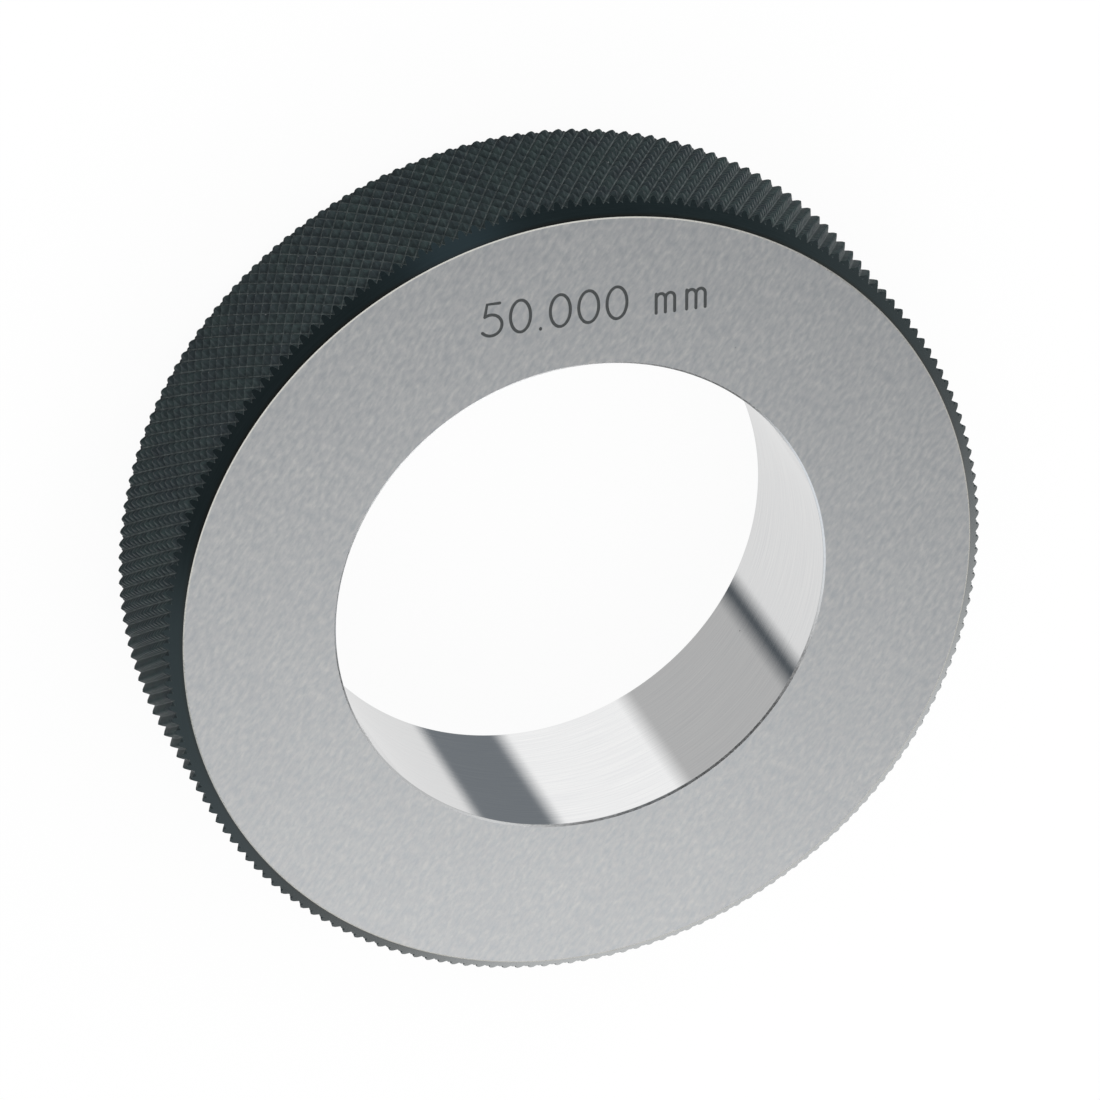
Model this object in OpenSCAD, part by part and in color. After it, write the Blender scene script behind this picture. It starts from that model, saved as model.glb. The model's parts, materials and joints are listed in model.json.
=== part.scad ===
// Setting ring gauge: a one-piece hardened steel ring with a lapped bore,
// two ground faces, and a blackened rim with a raised diamond knurl.
// It lies flat. The bore axis is +Z and the origin is on that axis, in the lower face.

/* [Ring] */

// Diameter of the lapped bore
bore_d = 50; // [30:0.5:60]
// Width of the ring between its two ground faces
ring_w = 20; // [14:0.5:21]
// Diameter over the tips of the knurl
rim_d = 84; // [76:0.5:88]
// How far each chamfer runs in from the knurl tips, across the face
chamfer_w = 1.5; // [1:0.1:3]
// How far each chamfer runs down from the face, along the axis
chamfer_h = 1.8; // [1:0.1:4]
// Leg of the small edge break at each end of the bore
bore_break = 0.2; // [0.1:0.05:1]

/* [Knurl] */

// Depth of the knurl's grooves
groove_depth = 0.6; // [0.3:0.05:0.8]
// Pitch of the grooves of one hand, measured square to them
groove_pitch = 1.2; // [1.15:0.05:2]
// Angle between the grooves and the bore axis
groove_angle = 30; // [28:1:40]

/* [Hidden] */

$fn = 180;

steel_grey = [0.66, 0.68, 0.69];
oxide_black = [0.17, 0.19, 0.2];

bore_r = bore_d / 2;
rim_r = rim_d / 2;
face_r = rim_r - chamfer_w;
root_r = rim_r - groove_depth;
middle_z = ring_w / 2;
// Radius at which the two chamfer cones would meet, half way up the ring
cone_r = face_r + middle_z * chamfer_w / chamfer_h;
// Height at which a chamfer cone meets the bottom of the grooves
root_z = (root_r - face_r) * chamfer_h / chamfer_w;

// The knurl is a lattice of columns round the rim and rows along the axis. Grooves
// of both hands cross at its low points, and each high point is the tip of a
// pyramid between them. Low and high points alternate along rows and columns.
groove_count = round(2 * PI * root_r * cos(groove_angle) / groove_pitch);
column_count = 2 * groove_count;
column_turn = 360 / column_count;
row_step = PI * root_r / groove_count / tan(groove_angle);
half_rows = round((middle_z - root_z) / row_step);
last_row = 2 * half_rows;
// Distance of the blank's two end points from its middle, so long that the
// blank runs on almost straight past the last rows
end_z = 500;

function lattice_point(row, column) =
    let (
        r = (row + column) % 2 == 0 ? root_r : rim_r,
        turn = column * column_turn
    )
    [r * cos(turn), r * sin(turn), middle_z + (row - half_rows) * row_step];

function vertex(row, column) = row * column_count + column % column_count;

// The two triangles of one lattice cell, which meet along the bottom of a groove
function cell(row, column) =
    let (
        a = vertex(row, column),
        b = vertex(row, column + 1),
        c = vertex(row + 1, column + 1),
        d = vertex(row + 1, column)
    )
    (row + column) % 2 == 0 ? [[a, c, b], [a, d, c]] : [[a, d, b], [b, d, c]];

// Knurled bar that runs to an end point far beyond each face of the ring
module knurled_bar() {
    lower_end = (last_row + 1) * column_count;
    upper_end = lower_end + 1;
    columns = [0 : column_count - 1];
    polyhedron(
        points = [
            for (row = [0 : last_row], column = columns) lattice_point(row, column),
            [0, 0, middle_z - end_z],
            [0, 0, middle_z + end_z]
        ],
        faces = [
            for (row = [0 : last_row - 1], column = columns) each cell(row, column),
            for (column = columns) [lower_end, vertex(0, column), vertex(0, column + 1)],
            for (column = columns)
                [upper_end, vertex(last_row, column + 1), vertex(last_row, column)]
        ]
    );
}

// Both chamfers, as two cones that would meet outside the rim
module chamfer_cones() {
    rotate_extrude()
        polygon([[0, 0], [face_r, 0], [cone_r, middle_z], [face_r, ring_w], [0, ring_w]]);
}

// Both ground faces and the bore, with an edge break at each end of the bore
module ground_section() {
    rotate_extrude()
        polygon([
            [bore_r + bore_break, 0],
            [cone_r, 0],
            [cone_r, ring_w],
            [bore_r + bore_break, ring_w],
            [bore_r, ring_w - bore_break],
            [bore_r, bore_break]
        ]);
}

// The whole gauge, which is one piece of steel
module ring() {
    intersection() {
        color(oxide_black) knurled_bar();
        color(oxide_black) chamfer_cones();
        color(steel_grey) ground_section();
    }
}

ring();
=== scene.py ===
import json
import math

import bmesh
import bpy
import numpy as np
from mathutils import Matrix, Vector

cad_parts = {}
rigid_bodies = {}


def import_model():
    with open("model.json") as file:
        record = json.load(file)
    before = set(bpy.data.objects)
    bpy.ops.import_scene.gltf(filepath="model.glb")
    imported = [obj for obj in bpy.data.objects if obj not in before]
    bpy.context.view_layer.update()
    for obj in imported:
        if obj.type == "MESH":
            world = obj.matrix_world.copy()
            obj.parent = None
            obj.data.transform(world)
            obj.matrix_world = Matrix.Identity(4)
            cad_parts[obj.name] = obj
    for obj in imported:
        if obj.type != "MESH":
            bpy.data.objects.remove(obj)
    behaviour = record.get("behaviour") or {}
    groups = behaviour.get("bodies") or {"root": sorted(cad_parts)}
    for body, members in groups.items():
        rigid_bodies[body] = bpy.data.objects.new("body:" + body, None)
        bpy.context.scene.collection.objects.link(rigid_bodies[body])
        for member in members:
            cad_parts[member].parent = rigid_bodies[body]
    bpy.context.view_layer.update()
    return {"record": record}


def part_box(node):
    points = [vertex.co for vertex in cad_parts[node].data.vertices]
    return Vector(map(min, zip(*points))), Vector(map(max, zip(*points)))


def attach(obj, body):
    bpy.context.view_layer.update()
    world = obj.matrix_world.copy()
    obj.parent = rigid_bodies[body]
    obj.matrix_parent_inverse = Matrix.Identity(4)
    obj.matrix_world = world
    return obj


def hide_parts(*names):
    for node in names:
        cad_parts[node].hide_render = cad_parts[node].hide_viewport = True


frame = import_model()

# Sizes that the frame gives, in metres
MM = 0.001
LOW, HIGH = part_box("ring")
BORE_MOUNT = next(m for m in frame["record"]["mounts"] if m["name"] == "bore")
RING_W = HIGH.z - LOW.z
RIM_R = HIGH.x
BORE_R = BORE_MOUNT["dims"]["r_mm"] * MM
BORE_BREAK = (RING_W - BORE_MOUNT["dims"]["length_mm"] * MM) / 2
MIDDLE_Z = RING_W / 2

# Sizes of the rim
CHAMFER_W = 1.7 * MM
CHAMFER_H = 1.8 * MM
GROOVE_DEPTH = 0.6 * MM
GROOVE_PITCH = 1.2 * MM
GROOVE_ANGLE = math.radians(30)
FACE_R = RIM_R - CHAMFER_W
ROOT_R = RIM_R - GROOVE_DEPTH

# The bare line where the ground face breaks the blackened chamfer
EDGE_BREAK_IN = 0.06 * MM
EDGE_BREAK_DOWN = 0.07 * MM
EDGE_BREAK_OUT = EDGE_BREAK_DOWN * CHAMFER_W / CHAMFER_H
# The bore's broken edge is a little steeper where it meets the wall
STEEP_PART = 0.15 * BORE_BREAK
STEEP_SLOPE = 0.4
# Close beside each broken edge, one more turn of points keeps the face or wall beyond it flat
BESIDE = 0.02 * MM
# The steel's outer wall lies hidden inside the rim
HIDDEN_R = FACE_R - 0.5 * MM
# Edges that turn more than this are sharp
SHARP_ANGLE = math.radians(20)

# The knurl is a lattice of columns and rows, in which low and high points alternate
GROOVE_COUNT = round(2 * math.pi * ROOT_R * math.cos(GROOVE_ANGLE) / GROOVE_PITCH)
COLUMN_COUNT = 2 * GROOVE_COUNT
COLUMN_TURN = 2 * math.pi / COLUMN_COUNT
ROW_STEP = math.pi * ROOT_R / GROOVE_COUNT / math.tan(GROOVE_ANGLE)
HALF_ROWS = math.ceil((MIDDLE_Z - GROOVE_DEPTH) / ROW_STEP)
# Levels up a pyramid's side, and the height of each as a share of the depth: narrow grooves, blunt tips
LEVELS = (0.0, 0.12, 0.5, 0.9, 1.0)
HEIGHTS = (-0.08, 0.04, 0.5, 0.89, 0.95)
GROOVE_BOTTOM_R = ROOT_R + GROOVE_DEPTH * HEIGHTS[0]
# Lattice points that agree to this part of a column or row are one point
KEYS_PER_STEP = 5000

LATHE_STEPS = 512

# The engraved number. Its strokes are stated in figure heights
FIGURE_H = 3.35 * MM
STROKE_W = 0.33 * MM
STROKE_DEPTH = 0.06 * MM
STROKE_SIDES = 12
# Where the rings that round a stroke's end lie, in degrees of its end's arc
STROKE_END_TURNS = (30, 60, 85)
BASELINE_Y = 29.55 * MM
GRIND_ANGLE = math.radians(56)

# The camera's place, and the directions in the object's frame that show to the right and up
CAMERA_PLACE = Vector((-206.7, 344.2, 658.2)) * MM
CAMERA_RIGHT = Vector((0.95244, -0.00219, 0.30471))
CAMERA_UP = Vector((0.13929, 0.89252, -0.42896))
CAMERA_LENS = 252.85
CAMERA_SENSOR = 36

# The studio: the way to the near side, level with the floor
NEAR_SIDE = (-0.515, 0.857, 0)
# The walls: a pale one all round, but for a dark gap, a white wall, a grey wall and a narrow dark gap.
# Each has one brightness up to its end, in degrees of the turn, and runs into the next over an edge
WALLS_START = 300
WALLS = ((70, 0.8), (110, 0.2), (170, 1.0), (235, 0.5), (245, 0.1), (360, 0.8))
WALL_EDGE = 8
# Walls darker than the first are a little blue, by the second
COOL_BELOW = 0.45
COOL_STRENGTH = 0.35
FLOOR_R = 3.0
FLOOR_GAP = 0.02 * MM
FLOOR_GLOW = 0.94
# Name, place, aim, side, power, and whether the metal mirrors it
LAMPS = (
    ("key", (0.056, -0.274, 0.28), (0, 0, 0), 0.26, 0.24, True),
    ("side", (0.24, 0.3, 0.13), (0, 0, 0.01), 0.12, 0.4, False),
)


def add(tree, kind, inputs=None, **settings):
    """Adds a node. An input's value is a number, a colour, or another node's output."""
    made = tree.nodes.new(kind)
    for name, value in settings.items():
        setattr(made, name, value)
    for name, value in (inputs or {}).items():
        socket = made.inputs[name]
        if isinstance(value, bpy.types.NodeSocket):
            tree.links.new(value, socket)
        else:
            socket.default_value = value
    return made


def math_node(tree, operation, first, second=0.0):
    return add(tree, "ShaderNodeMath", {0: first, 1: second}, operation=operation).outputs[0]


def spread(tree, value, low, high, to_low, to_high):
    """Maps a value from one range to another, held at both ends."""
    inputs = {"Value": value, "From Min": low, "From Max": high, "To Min": to_low, "To Max": to_high}
    return add(tree, "ShaderNodeMapRange", inputs).outputs[0]


def noise(tree, place, detail=3.0, roughness=0.6):
    inputs = {"Vector": place, "Scale": 1.0, "Detail": detail, "Roughness": roughness}
    return add(tree, "ShaderNodeTexNoise", inputs).outputs["Fac"]


def contrast(tree, value, to_low=0.0, to_high=1.0):
    """Maps the middle part of a noise, where nearly all of it lies, to a range."""
    return spread(tree, value, 0.3, 0.7, to_low, to_high)


def mix_colour(tree, share, first, second):
    return add(tree, "ShaderNodeMix", {0: share, 6: first, 7: second}, data_type="RGBA").outputs[2]


def grey(value):
    return (value, value, value, 1.0)


def material(name):
    """A new material with its tree, its shader, and the object's own coordinates."""
    made = bpy.data.materials.new(name)
    made.use_nodes = True
    tree = made.node_tree
    shader = tree.nodes["Principled BSDF"]
    place = add(tree, "ShaderNodeTexCoord").outputs["Object"]
    return made, tree, shader, place


def link(tree, **sockets):
    """Links outputs to the shader's inputs."""
    shader = tree.nodes["Principled BSDF"]
    for name, output in sockets.items():
        tree.links.new(output, shader.inputs[name.replace("_", " ")])


def polar(tree, place):
    """The angle round the axis, the distance from it and the height of a point."""
    x, y, z = add(tree, "ShaderNodeSeparateXYZ", {0: place}).outputs
    angle = math_node(tree, "ARCTAN2", y, x)
    flat = add(tree, "ShaderNodeCombineXYZ", {0: x, 1: y})
    radius = add(tree, "ShaderNodeVectorMath", {0: flat.outputs[0]}, operation="LENGTH").outputs["Value"]
    return angle, radius, z


def bump(tree, height, depth):
    return add(tree, "ShaderNodeBump", {"Height": height, "Distance": depth, "Strength": 1.0}).outputs[0]


def scaled(tree, place, size):
    return add(tree, "ShaderNodeVectorMath", {0: place, "Scale": 1 / size}, operation="SCALE").outputs[0]


def along_grinding(tree, place, length, width):
    """Coordinates in which a noise draws streaks of one size along the grinding's line."""
    inputs = {"Vector": place, "Scale": (length, width, 1.0), "Rotation": (0, 0, GRIND_ANGLE)}
    return add(tree, "ShaderNodeMapping", inputs, vector_type="TEXTURE").outputs[0]


def turned_lines(tree, along, across, detail, roughness):
    """Noise that is drawn out round the axis."""
    lines_at = add(tree, "ShaderNodeCombineXYZ", {0: along, 1: across}).outputs[0]
    return noise(tree, lines_at, detail, roughness)


def specks(tree, place, cell, reach, share):
    """1 in a few small spots, 0 elsewhere."""
    cells = add(tree, "ShaderNodeTexVoronoi", {"Vector": scaled(tree, place, cell), "Scale": 1.0})
    near = spread(tree, cells.outputs["Distance"], 0.5 * reach / cell, reach / cell, 1.0, 0.0)
    pick = add(tree, "ShaderNodeSeparateColor", {0: cells.outputs["Color"]}).outputs[0]
    chosen = math_node(tree, "LESS_THAN", pick, share)
    return math_node(tree, "MULTIPLY", near, chosen)


def ground_steel():
    """The faces: fine satin streaks, all along one line, in soft blotches."""
    made, tree, shader, place = material("ground_steel")
    streaks = noise(tree, along_grinding(tree, place, 1.0 * MM, 0.46 * MM), 3.0, 0.55)
    hairs = noise(tree, along_grinding(tree, place, 0.7 * MM, 0.08 * MM), 2.0, 0.5)
    blotches = noise(tree, scaled(tree, place, 0.6 * MM), 2.0, 0.5)
    clouds = noise(tree, scaled(tree, place, 7 * MM), 3.0, 0.5)
    light = contrast(tree, streaks)
    colour = mix_colour(tree, light, (0.49, 0.511, 0.522, 1), (0.69, 0.682, 0.665, 1))
    blotched = spread(tree, blotches, 0.35, 0.65, 0.0, 0.27)
    colour = mix_colour(tree, blotched, colour, (0.48, 0.49, 0.513, 1))
    clouded = contrast(tree, clouds, 0.0, 0.12)
    colour = mix_colour(tree, clouded, colour, (0.45, 0.46, 0.48, 1))
    spots = specks(tree, place, 3.1 * MM, 0.09 * MM, 0.12)
    colour = mix_colour(tree, math_node(tree, "MULTIPLY", spots, 0.6), colour, grey(0.2))
    rough = contrast(tree, streaks, 0.36, 0.44)
    both = math_node(tree, "ADD", streaks, math_node(tree, "MULTIPLY", hairs, 0.5))
    shader.inputs["Metallic"].default_value = 1.0
    link(tree, Base_Color=colour, Roughness=rough, Normal=bump(tree, both, 0.006 * MM))
    return made


def lapped_steel():
    """The bore: bright, with hair lines round it and a few dark specks."""
    made, tree, shader, place = material("lapped_steel")
    angle, _, z = polar(tree, place)
    along = math_node(tree, "MULTIPLY", angle, BORE_R / (9 * MM))
    across = math_node(tree, "DIVIDE", z, 0.22 * MM)
    lines = turned_lines(tree, along, across, 4.0, 0.7)
    light = contrast(tree, lines)
    colour = mix_colour(tree, light, (0.785, 0.79, 0.8, 1), (0.885, 0.885, 0.88, 1))
    spots = specks(tree, place, 2.6 * MM, 0.1 * MM, 0.08)
    colour = mix_colour(tree, spots, colour, grey(0.15))
    rough = contrast(tree, lines, 0.035, 0.08)
    shader.inputs["Metallic"].default_value = 1.0
    link(tree, Base_Color=colour, Roughness=rough, Normal=bump(tree, lines, 0.002 * MM))
    return made


def edge_steel():
    """The broken edges: bare, with small nicks, a little warmer and duller on the outside."""
    made, tree, shader, place = material("edge_steel")
    _, radius, _ = polar(tree, place)
    nicks = noise(tree, scaled(tree, place, 0.4 * MM), 3.0, 0.6)
    light = contrast(tree, nicks)
    bare = mix_colour(tree, light, (0.68, 0.69, 0.7, 1), (0.78, 0.79, 0.79, 1))
    warm = mix_colour(tree, light, (0.64, 0.635, 0.59, 1), (0.78, 0.77, 0.72, 1))
    outside = math_node(tree, "GREATER_THAN", radius, (BORE_R + FACE_R) / 2)
    colour = mix_colour(tree, outside, bare, warm)
    rough = contrast(tree, nicks, 0.16, 0.26)
    rough = math_node(tree, "ADD", rough, math_node(tree, "MULTIPLY", outside, 0.08))
    shader.inputs["Metallic"].default_value = 1.0
    link(tree, Base_Color=colour, Roughness=rough, Normal=bump(tree, nicks, 0.01 * MM))
    return made


def engraved():
    """The number's grooves: burnt dark, uneven along the stroke."""
    made, tree, _, place = material("engraved")
    burn = noise(tree, scaled(tree, place, 0.15 * MM), 3.0, 0.6)
    light = contrast(tree, burn)
    colour = mix_colour(tree, light, (0.034, 0.04, 0.042, 1), (0.07, 0.076, 0.076, 1))
    rough = contrast(tree, burn, 0.45, 0.65)
    link(tree, Base_Color=colour, Roughness=rough, Normal=bump(tree, burn, 0.01 * MM))
    return made


def knurl_colour(tree, place, radius, grain):
    """Black oxide in patches, rubbed on the tips, with painted highlights: pale lines along the groove
    bottoms and a few glints.
    """
    patches = noise(tree, scaled(tree, place, 0.8 * MM), 2.0, 0.6)
    clouds = noise(tree, scaled(tree, place, 4 * MM), 3.0, 0.5)
    light = contrast(tree, grain)
    colour = mix_colour(tree, light, (0.0265, 0.043, 0.043, 1), (0.039, 0.06, 0.06, 1))
    dark = spread(tree, patches, 0.4, 0.62, 0.0, 0.7)
    colour = mix_colour(tree, dark, colour, (0.01, 0.017, 0.02, 1))
    violet = spread(tree, clouds, 0.4, 0.65, 0.0, 0.4)
    colour = mix_colour(tree, violet, colour, (0.019, 0.021, 0.032, 1))
    # Painted highlight: the groove bottoms are paler, standing in for the shine of rounded groove bottoms,
    # broken up by the patches
    low = spread(tree, radius, GROOVE_BOTTOM_R + 0.02 * MM, GROOVE_BOTTOM_R + 0.1 * MM, 0.9, 0.0)
    low = math_node(tree, "MULTIPLY", low, spread(tree, patches, 0.4, 0.6, 1.0, 0.45))
    colour = mix_colour(tree, low, colour, (0.16, 0.18, 0.18, 1))
    tip = spread(tree, radius, RIM_R - 0.09 * MM, RIM_R - 0.05 * MM, 0.0, 1.0)
    worn = math_node(tree, "MULTIPLY", tip, spread(tree, clouds, 0.5, 0.62, 0.03, 0.4))
    colour = mix_colour(tree, worn, colour, (0.2, 0.2, 0.19, 1))
    # Painted highlight: a few bright glints
    glints = specks(tree, place, 1.2 * MM, 0.1 * MM, 0.1)
    return mix_colour(tree, glints, colour, (0.3, 0.31, 0.31, 1))


def oxide_knurl():
    """The knurl: black oxide, with painted shade in the notches at the chamfers."""
    made, tree, shader, place = material("oxide_knurl")
    _, radius, z = polar(tree, place)
    grain = noise(tree, scaled(tree, place, 0.12 * MM), 3.0, 0.6)
    colour = knurl_colour(tree, place, radius, grain)
    from_middle = math_node(tree, "ABSOLUTE", math_node(tree, "SUBTRACT", z, MIDDLE_Z))
    chamfer_end = MIDDLE_Z - CHAMFER_H
    # Painted shade: the knurl darkens where its grooves run out at the chamfers, more deep in the grooves
    # than at the tips
    painted_notch_shade = spread(tree, from_middle, chamfer_end - 0.2 * MM, chamfer_end + 0.4 * MM, 0.0, 1.0)
    inner = spread(tree, radius, RIM_R - 0.25 * MM, RIM_R - 0.1 * MM, 0.35, 0.08)
    painted_notch_shade = math_node(tree, "MULTIPLY", painted_notch_shade, inner)
    colour = mix_colour(tree, painted_notch_shade, colour, (0.002, 0.003, 0.004, 1))
    rough = contrast(tree, grain, 0.46, 0.62)
    rough = math_node(tree, "ADD", rough, math_node(tree, "MULTIPLY", painted_notch_shade, 0.3))
    shader.inputs["Specular Tint"].default_value = (0.8, 0.97, 1.0, 1)
    link(tree, Base_Color=colour, Roughness=rough, Normal=bump(tree, grain, 0.01 * MM))
    return made


def oxide_chamfer():
    """The turned chamfers: smooth black oxide with faint turning lines, browner at the face's edge."""
    made, tree, shader, place = material("oxide_chamfer")
    angle, radius, _ = polar(tree, place)
    along = math_node(tree, "MULTIPLY", angle, FACE_R / (5 * MM))
    across = math_node(tree, "DIVIDE", radius, 0.07 * MM)
    lines = turned_lines(tree, along, across, 3.0, 0.6)
    light = contrast(tree, lines)
    colour = mix_colour(tree, light, (0.0075, 0.0125, 0.014, 1), (0.0115, 0.0175, 0.0195, 1))
    edge = spread(tree, radius, FACE_R + 0.1 * MM, FACE_R + 0.4 * MM, 1.0, 0.0)
    colour = mix_colour(tree, edge, colour, (0.009, 0.009, 0.0075, 1))
    rough = contrast(tree, lines, 0.18, 0.25)
    shader.inputs["Specular Tint"].default_value = (0.75, 0.97, 1.0, 1)
    shader.inputs["Specular IOR Level"].default_value = 0.35
    link(tree, Base_Color=colour, Roughness=rough, Normal=bump(tree, lines, 0.002 * MM))
    return made


def new_object(name, mesh):
    made = bpy.data.objects.new(name, mesh)
    bpy.context.scene.collection.objects.link(made)
    return made


def finished_mesh(name, shape):
    """The mesh of a closed shape, with its faces turned outward."""
    bmesh.ops.recalc_face_normals(shape, faces=shape.faces)
    mesh = bpy.data.meshes.new(name)
    shape.to_mesh(mesh)
    shape.free()
    return mesh


def lathe(name, outline, materials):
    """A closed ring turned from an outline of (radius, height, material of the band that follows)."""
    shape = bmesh.new()
    rings = []
    for radius, height, _ in outline:
        turn = (2 * math.pi * k / LATHE_STEPS for k in range(LATHE_STEPS))
        rings.append([shape.verts.new((radius * math.cos(a), radius * math.sin(a), height)) for a in turn])
    for k, (_, _, finish) in enumerate(outline):
        lower, upper = rings[k], rings[(k + 1) % len(rings)]
        for j in range(LATHE_STEPS):
            i = (j + 1) % LATHE_STEPS
            face = shape.faces.new((lower[j], lower[i], upper[i], upper[j]))
            face.material_index = finish
            face.smooth = True
    mesh = finished_mesh(name, shape)
    for finish in materials:
        mesh.materials.append(finish)
    return new_object(name, mesh)


def arc(centre, width, height, start, end, steps=24):
    """Points on an ellipse's arc, from one angle to the other, in degrees."""
    turns = [math.radians(start + (end - start) * k / steps) for k in range(steps + 1)]
    return [(centre[0] + width * math.cos(a), centre[1] + height * math.sin(a)) for a in turns]


def figure_five():
    """A flag, a short stem and a bowl, from the middle of the figure's foot."""
    bowl = arc((-0.02, 0.33), 0.33, 0.33, 122, -140)
    return [[(0.24, 1.0), (-0.13, 1.0), (-0.2, 0.61)], bowl]


def figure_nought():
    return [arc((0, 0.5), 0.3, 0.5, 90, 450, 48)]


def point():
    return [[(0.0, 0.0), (0.0, 0.02)]]


def letter_m():
    """Three stems under two arches."""
    step, arch, top = 0.28, 0.14, 0.6
    arch_h = 1.15 * arch
    strokes = [[(-step, 0.0), (-step, top)]]
    for left in (-step, 0):
        arched = arc((left + arch, top - arch_h), arch, arch_h, 180, 0, 12)
        strokes.append(arched + [(left + step, 0.0)])
    return strokes


def stroke_rings(points, closed):
    """Centre, heading and size of each ring of a stroke's tube. An open stroke has round ends."""
    count = len(points)
    rings = []
    for k, here in enumerate(points):
        before = points[k - 1] if closed or k else here
        after = points[(k + 1) % count] if closed or k < count - 1 else here
        rings.append((here, (after - before).normalized(), 1.0))
    if closed:
        return rings
    turns = [math.radians(a) for a in STROKE_END_TURNS]
    start, start_heading, _ = rings[0]
    end, end_heading, _ = rings[-1]
    reach = STROKE_W / 2
    before = [(start - start_heading * reach * math.sin(a), start_heading, math.cos(a)) for a in turns[::-1]]
    after = [(end + end_heading * reach * math.sin(a), end_heading, math.cos(a)) for a in turns]
    return before + rings + after


def groove_cutter(path):
    """A flat round tube along a path in the upper face."""
    points = [Vector((x, y, 0)) for x, y in path]
    closed = (points[0] - points[-1]).length < 1e-9
    if closed:
        points.pop()
    shape = bmesh.new()
    loops = []
    for here, heading, size in stroke_rings(points, closed):
        across = Vector((-heading.y, heading.x, 0))
        loop = []
        for side in range(STROKE_SIDES):
            a = 2 * math.pi * (side + 0.5) / STROKE_SIDES
            spot = here + across * (size * STROKE_W / 2 * math.cos(a))
            loop.append(shape.verts.new((spot.x, spot.y, HIGH.z + size * STROKE_DEPTH * math.sin(a))))
        loops.append(loop)
    pairs = list(zip(loops, loops[1:])) + ([(loops[-1], loops[0])] if closed else [])
    for one, other in pairs:
        for side in range(STROKE_SIDES):
            following = (side + 1) % STROKE_SIDES
            shape.faces.new((one[side], one[following], other[following], other[side]))
    if not closed:
        shape.faces.new(loops[0])
        shape.faces.new(loops[-1])
    return finished_mesh("cutter", shape)


def engrave(ring, finish):
    """Cuts the bore's nominal size into the upper face."""
    # Each figure's strokes, and the place of its middle along the line of text
    figures = (
        (figure_five(), -9.1 * MM),
        (figure_nought(), -6.2 * MM),
        (point(), -4.2 * MM),
        (figure_nought(), -2.2 * MM),
        (figure_nought(), 0.65 * MM),
        (figure_nought(), 3.5 * MM),
        (letter_m(), 8.4 * MM),
        (letter_m(), 11.5 * MM),
    )
    tools = bpy.data.collections.new("cutters")
    bpy.context.scene.collection.children.link(tools)
    for strokes, x in figures:
        for stroke in strokes:
            path = [(x + FIGURE_H * a, BASELINE_Y + FIGURE_H * b) for a, b in stroke]
            mesh = groove_cutter(path)
            mesh.materials.append(finish)
            tools.objects.link(bpy.data.objects.new("cutter", mesh))
    cut = ring.modifiers.new("engraving", "BOOLEAN")
    cut.operation = "DIFFERENCE"
    cut.operand_type = "COLLECTION"
    cut.collection = tools
    cut.solver = "EXACT"
    cut.material_mode = "TRANSFER"
    bpy.context.view_layer.update()
    graph = bpy.context.evaluated_depsgraph_get()
    result = bpy.data.meshes.new_from_object(ring.evaluated_get(graph))
    ring.modifiers.clear()
    ring.data = result
    for tool in list(tools.objects):
        bpy.data.objects.remove(tool)
    bpy.data.collections.remove(tools)


def steel_ring():
    """Faces, bore and broken edges."""
    finishes = [ground_steel(), lapped_steel(), edge_steel()]
    ground, lapped, edge = range(3)
    top = HIGH.z
    bottom = LOW.z
    outline = [
        (BORE_R + BORE_BREAK, top, ground),
        (BORE_R + BORE_BREAK + BESIDE, top, ground),
        (FACE_R - EDGE_BREAK_IN - BESIDE, top, ground),
        (FACE_R - EDGE_BREAK_IN, top, edge),
        (FACE_R + EDGE_BREAK_OUT, top - EDGE_BREAK_DOWN, edge),
        (HIDDEN_R, top - CHAMFER_H, edge),
        (HIDDEN_R, bottom + CHAMFER_H, edge),
        (FACE_R + EDGE_BREAK_OUT, bottom + EDGE_BREAK_DOWN, edge),
        (FACE_R - EDGE_BREAK_IN, bottom, ground),
        (FACE_R - EDGE_BREAK_IN - BESIDE, bottom, ground),
        (BORE_R + BORE_BREAK, bottom, edge),
        (BORE_R, bottom + BORE_BREAK, lapped),
        (BORE_R, top - BORE_BREAK - BESIDE, lapped),
        (BORE_R, top - BORE_BREAK, edge),
        (BORE_R + STEEP_SLOPE * STEEP_PART, top - BORE_BREAK + STEEP_PART, edge),
    ]
    ring = lathe("ring_steel", outline, finishes)
    engrave(ring, engraved())
    ring.data.set_sharp_from_angle(angle=SHARP_ANGLE)
    return ring


def cone_radius(z):
    """Radius of the nearer chamfer's cone at a height."""
    nearer = np.minimum(z - LOW.z, HIGH.z - z)
    return FACE_R + nearer * CHAMFER_W / CHAMFER_H


def half_cells():
    """The lattice's triangles as (column, row): both ends of a groove's bottom, then a pyramid's tip."""
    rows, columns = np.meshgrid(np.arange(-HALF_ROWS, HALF_ROWS), np.arange(COLUMN_COUNT), indexing="ij")
    rows, columns = rows.ravel(), columns.ravel()
    side = np.where((rows + columns) % 2 == 1, 0, 1)
    lower_low = np.stack([columns + side, rows], 1)
    upper_low = np.stack([columns + 1 - side, rows + 1], 1)
    lower_tip = np.stack([columns + 1 - side, rows], 1)
    upper_tip = np.stack([columns + side, rows + 1], 1)
    # Each half's low corners come in the order that turns its face outward
    leans = (side == 0)[:, None]
    one = np.where(leans, upper_low, lower_low)
    other = np.where(leans, lower_low, upper_low)
    low_1 = np.concatenate([one, other]).astype(float)
    low_2 = np.concatenate([other, one]).astype(float)
    tip = np.concatenate([lower_tip, upper_tip]).astype(float)
    return low_1, low_2, tip


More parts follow.
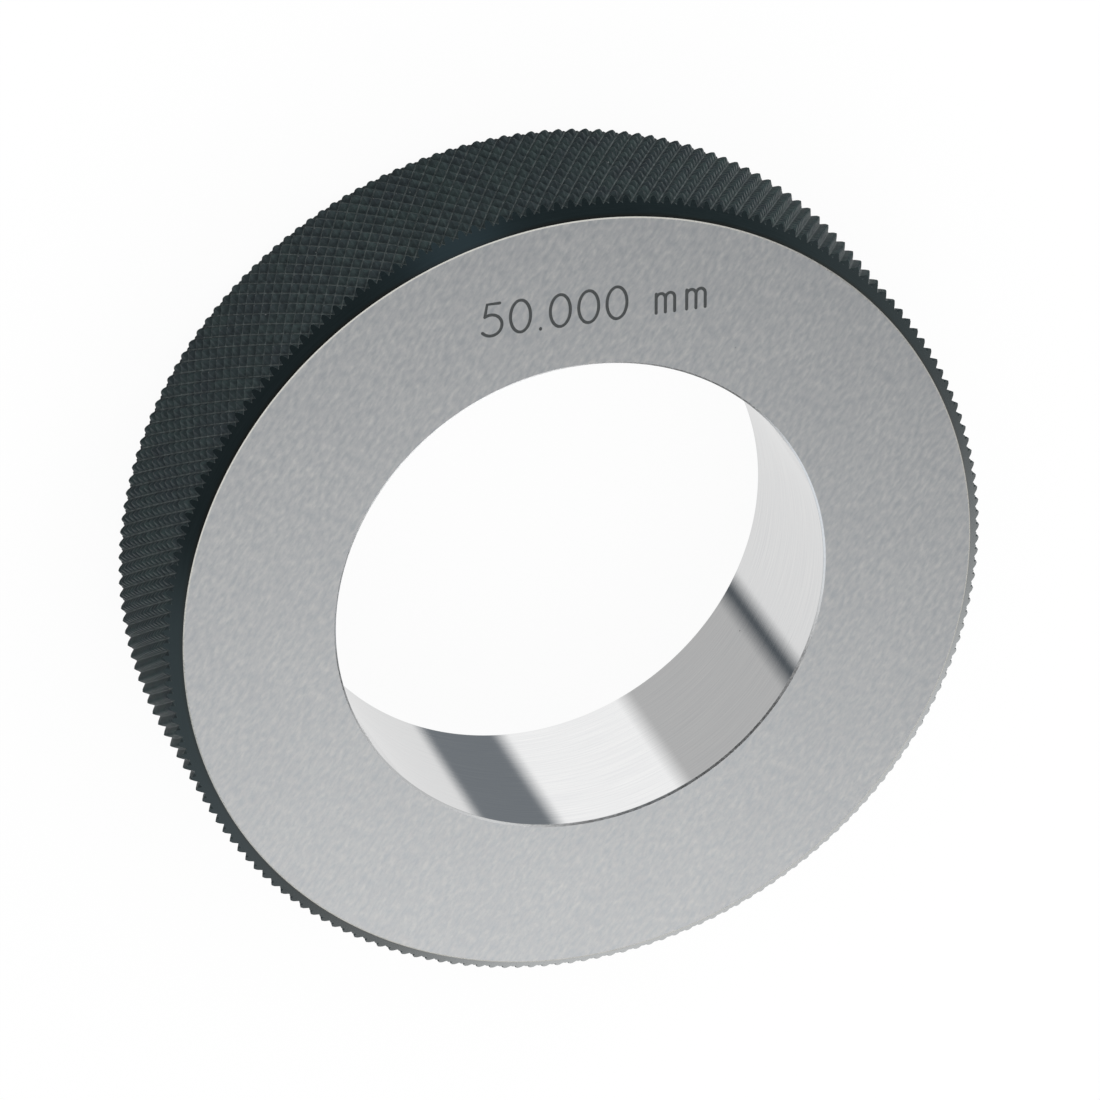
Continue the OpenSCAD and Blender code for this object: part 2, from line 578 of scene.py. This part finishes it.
def knurl_mesh():
    """Points (angle, radius, height) and triangles of the lattice, with each pyramid's sides divided."""
    low_1, low_2, tip = half_cells()
    steps = len(LEVELS) - 1
    points, heights, index = [], [], {}
    for k, level in enumerate(LEVELS):
        for j in range(steps - k + 1):
            share = j / max(steps - k, 1)
            base = low_1 * (1 - share) + low_2 * share
            index[k, j] = len(points)
            points.append(base * (1 - level) + tip * level)
            heights.append(np.full(len(base), HEIGHTS[k]))
    faces = []
    for k in range(steps):
        for j in range(steps - k):
            faces.append((index[k, j], index[k, j + 1], index[k + 1, j]))
            if j:
                faces.append((index[k, j], index[k + 1, j], index[k + 1, j - 1]))
    points = np.concatenate(points)
    heights = np.concatenate(heights)
    count = len(low_1)
    cells = np.arange(count)
    triangles = np.concatenate([np.stack([cells + count * a for a in face], 1) for face in faces])
    # Halves that meet share their points
    keys = np.round(points * KEYS_PER_STEP).astype(np.int64)
    keys[:, 0] %= COLUMN_COUNT * KEYS_PER_STEP
    unique, first, inverse = np.unique(keys, axis=0, return_index=True, return_inverse=True)
    triangles = inverse.reshape(-1)[triangles]
    angle = unique[:, 0] / KEYS_PER_STEP * COLUMN_TURN
    height = MIDDLE_Z + unique[:, 1] / KEYS_PER_STEP * ROW_STEP
    radius = ROOT_R + GROOVE_DEPTH * heights[first]
    return np.stack([angle, radius, height], 1), triangles


def cut_at_chamfers(points, triangles):
    """Drops what lies outside the chamfer cones. Returns points, faces and the new points on the cut."""
    over = points[:, 1] - cone_radius(points[:, 2])
    outside = over[triangles] > 0
    faces = [tuple(t) for t in triangles[~outside.any(1)].tolist()]
    points = points.tolist()
    made = {}

    def crossing(a, b):
        key = (min(a, b), max(a, b))
        if key not in made:
            one, other = np.array(points[key[0]]), np.array(points[key[1]])
            # The lattice closes where the angle starts again
            other[0] -= 2 * math.pi * round((other[0] - one[0]) / (2 * math.pi))
            share = over[key[0]] / (over[key[0]] - over[key[1]])
            spot = one + (other - one) * share
            spot[0] %= 2 * math.pi
            made[key] = len(points)
            points.append(spot.tolist())
        return made[key]

    for triangle in triangles[outside.any(1) & ~outside.all(1)].tolist():
        kept = []
        for a, b in zip(triangle, triangle[1:] + triangle[:1]):
            if over[a] <= 0:
                kept.append(a)
            if (over[a] > 0) != (over[b] > 0):
                kept.append(crossing(a, b))
        faces.append(tuple(kept))
    return np.array(points), faces, sorted(made.values())


def rim():
    """The knurl between its two chamfers."""
    points, faces, cut = cut_at_chamfers(*knurl_mesh())
    knurl_faces = len(faces)
    edge_r = FACE_R + EDGE_BREAK_OUT
    for z, upper in ((HIGH.z - EDGE_BREAK_DOWN, True), (LOW.z + EDGE_BREAK_DOWN, False)):
        loop = [k for k in cut if (points[k, 2] > MIDDLE_Z) == upper]
        loop.sort(key=lambda k: points[k, 0])
        first = len(points)
        inner = np.array([(points[k, 0], edge_r, z) for k in loop])
        points = np.concatenate([points, inner])
        for j in range(len(loop)):
            i = (j + 1) % len(loop)
            quad = (loop[j], loop[i], first + i, first + j)
            faces.append(quad if upper else quad[::-1])
    used = sorted({k for face in faces for k in face})
    renumber = {k: n for n, k in enumerate(used)}
    faces = [tuple(renumber[k] for k in face) for face in faces]
    angle, radius, z = points[used].T
    places = np.stack([radius * np.cos(angle), radius * np.sin(angle), z], 1)
    mesh = bpy.data.meshes.new("ring_rim")
    mesh.from_pydata(places.tolist(), [], faces)
    mesh.materials.append(oxide_knurl())
    mesh.materials.append(oxide_chamfer())
    chamfered = np.arange(len(faces)) >= knurl_faces
    mesh.polygons.foreach_set("material_index", chamfered.astype(np.int32))
    mesh.shade_flat()
    mesh.update()
    return new_object("ring_rim", mesh)


def towards(tree, direction, heading):
    """1 where a direction is the heading, less beside it."""
    made = add(tree, "ShaderNodeVectorMath", {0: direction, 1: heading}, operation="DOT_PRODUCT")
    return made.outputs["Value"]


def walls(tree, x, y):
    """The walls' colour by the turn round the axis."""
    turn = math_node(tree, "DIVIDE", math_node(tree, "ARCTAN2", y, x), 2 * math.pi)
    turn = math_node(tree, "FRACT", math_node(tree, "ADD", turn, 1 - WALLS_START / 360))
    ramp = add(tree, "ShaderNodeValToRGB", {0: turn})
    stops = [(0, WALLS[0][1])]
    for (end, value), (_, following) in zip(WALLS, WALLS[1:]):
        stops += [(end - WALL_EDGE / 2, value), (end + WALL_EDGE / 2, following)]
    stops.append((360, WALLS[-1][1]))
    for degrees, _ in stops[1:-1]:
        ramp.color_ramp.elements.new(degrees / 360)
    for stop, (_, value) in zip(ramp.color_ramp.elements, stops):
        cool = COOL_STRENGTH * max(0.0, COOL_BELOW - value)
        stop.color = (value * (1 - cool), value, value * (1 + cool), 1)
    return ramp.outputs[0]


def upper_studio(tree, direction, near_side, z):
    """A sky, dimmer on the far side, a dark card that leans back on the near side, and two windows."""
    dim = mix_colour(tree, spread(tree, z, 0.3, 0.6, 0.0, 1.0), grey(0.66), (0.235, 0.244, 0.256, 1))
    sky = mix_colour(tree, spread(tree, near_side, -0.25, 0.15, 0.0, 1.0), dim, grey(0.95))
    leaning = math_node(tree, "SUBTRACT", near_side, math_node(tree, "MULTIPLY", z, 1.2))
    upper = mix_colour(tree, spread(tree, leaning, -0.28, -0.15, 0.0, 1.0), sky, grey(0.06))
    windows = (
        ((-0.166, 0.939, 0.3), 0.97, 0.99, (0.95, 1.15, 1.35, 1)),
        ((-0.766, -0.643, 0), 0.8, 0.93, (0.92, 0.96, 1.0, 1)),
    )
    for heading, outer, inner, shade in windows:
        share = spread(tree, towards(tree, direction, heading), outer, inner, 0.0, 1.0)
        upper = mix_colour(tree, share, upper, shade)
    return upper


def lower_studio(tree, near_side, x, z):
    """A table: plain on the near side, bright on the far side and brightest a little below the horizon."""
    glow = spread(tree, z, -0.5, -0.36, 1.55, 0.98)
    glow = math_node(tree, "MULTIPLY", glow, spread(tree, z, -0.64, -0.54, 0.7, 1.25))
    glow = math_node(tree, "MULTIPLY", glow, spread(tree, x, 0.0, 0.2, 0.7, 1.0))
    return mix_colour(tree, spread(tree, near_side, -0.7, -0.3, 0.0, 1.0), glow, grey(0.45))


def surroundings():
    """What the metal mirrors: a sky and a table with the walls below it. The backdrop itself is white."""
    world = bpy.data.worlds.new("studio")
    bpy.context.scene.world = world
    world.use_nodes = True
    tree = world.node_tree
    back = tree.nodes["Background"]
    direction = add(tree, "ShaderNodeTexCoord").outputs["Generated"]
    x, y, z = add(tree, "ShaderNodeSeparateXYZ", {0: direction}).outputs
    near_side = towards(tree, direction, NEAR_SIDE)
    upper = upper_studio(tree, direction, near_side, z)
    table = lower_studio(tree, near_side, x, z)
    seen = mix_colour(tree, spread(tree, z, -0.34, -0.2, 0.0, 1.0), table, upper)
    seen = mix_colour(tree, spread(tree, z, -0.78, -0.7, 1.0, 0.0), seen, walls(tree, x, y))
    # Straight below it is dark
    seen = mix_colour(tree, spread(tree, z, -0.96, -0.9, 1.0, 0.0), seen, grey(0.08))
    rays = add(tree, "ShaderNodeLightPath")
    lit = mix_colour(tree, rays.outputs["Is Glossy Ray"], grey(0.9), seen)
    shown = mix_colour(tree, rays.outputs["Is Camera Ray"], lit, grey(1.0))
    tree.links.new(shown, back.inputs["Color"])
    back.inputs["Strength"].default_value = 1.0


def floor():
    """A round white floor under the ring. Metal sees the studio instead of it."""
    shape = bmesh.new()
    bmesh.ops.create_circle(shape, cap_ends=True, segments=96, radius=FLOOR_R)
    mesh = bpy.data.meshes.new("floor")
    shape.to_mesh(mesh)
    shape.free()
    made = bpy.data.materials.new("floor_white")
    made.use_nodes = True
    tree = made.node_tree
    tree.nodes.remove(tree.nodes["Principled BSDF"])
    camera_ray = add(tree, "ShaderNodeLightPath").outputs["Is Camera Ray"]
    tone = spread(tree, camera_ray, 0.0, 1.0, 0.6, 1.0)
    paper = add(tree, "ShaderNodeBsdfDiffuse", {"Color": tone}).outputs[0]
    glow = add(tree, "ShaderNodeEmission", {"Color": grey(1.0)}).outputs[0]
    share = math_node(tree, "MULTIPLY", camera_ray, FLOOR_GLOW)
    mixed = add(tree, "ShaderNodeMixShader", {0: share, 1: paper, 2: glow}).outputs[0]
    tree.links.new(mixed, tree.nodes["Material Output"].inputs["Surface"])
    mesh.materials.append(made)
    stand = new_object("floor", mesh)
    stand.location.z = LOW.z - FLOOR_GAP
    stand.visible_glossy = False


def softbox(name, place, aim, size, power, mirrored):
    lamp = bpy.data.lights.new(name, "AREA")
    lamp.shape = "SQUARE"
    lamp.size = size
    lamp.energy = power
    made = new_object(name, lamp)
    made.visible_glossy = mirrored
    made.location = place
    made.rotation_euler = (Vector(aim) - Vector(place)).to_track_quat("-Z", "Y").to_euler()


def camera():
    lens = bpy.data.cameras.new("camera")
    lens.lens = CAMERA_LENS
    lens.sensor_width = CAMERA_SENSOR
    lens.clip_start = 0.01
    made = new_object("camera", lens)
    right, up = CAMERA_RIGHT.normalized(), CAMERA_UP.normalized()
    turned = Matrix((right, up, right.cross(up))).transposed()
    made.matrix_world = Matrix.Translation(CAMERA_PLACE) @ turned.to_4x4()
    bpy.context.scene.camera = made


camera()
surroundings()
floor()
for lamp in LAMPS:
    softbox(*lamp)
for piece, finish in ((steel_ring(), "ground_steel"), (rim(), "black_oxide")):
    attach(piece, "root")
    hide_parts("ring")
bpy.context.scene.view_settings.view_transform = "Standard"
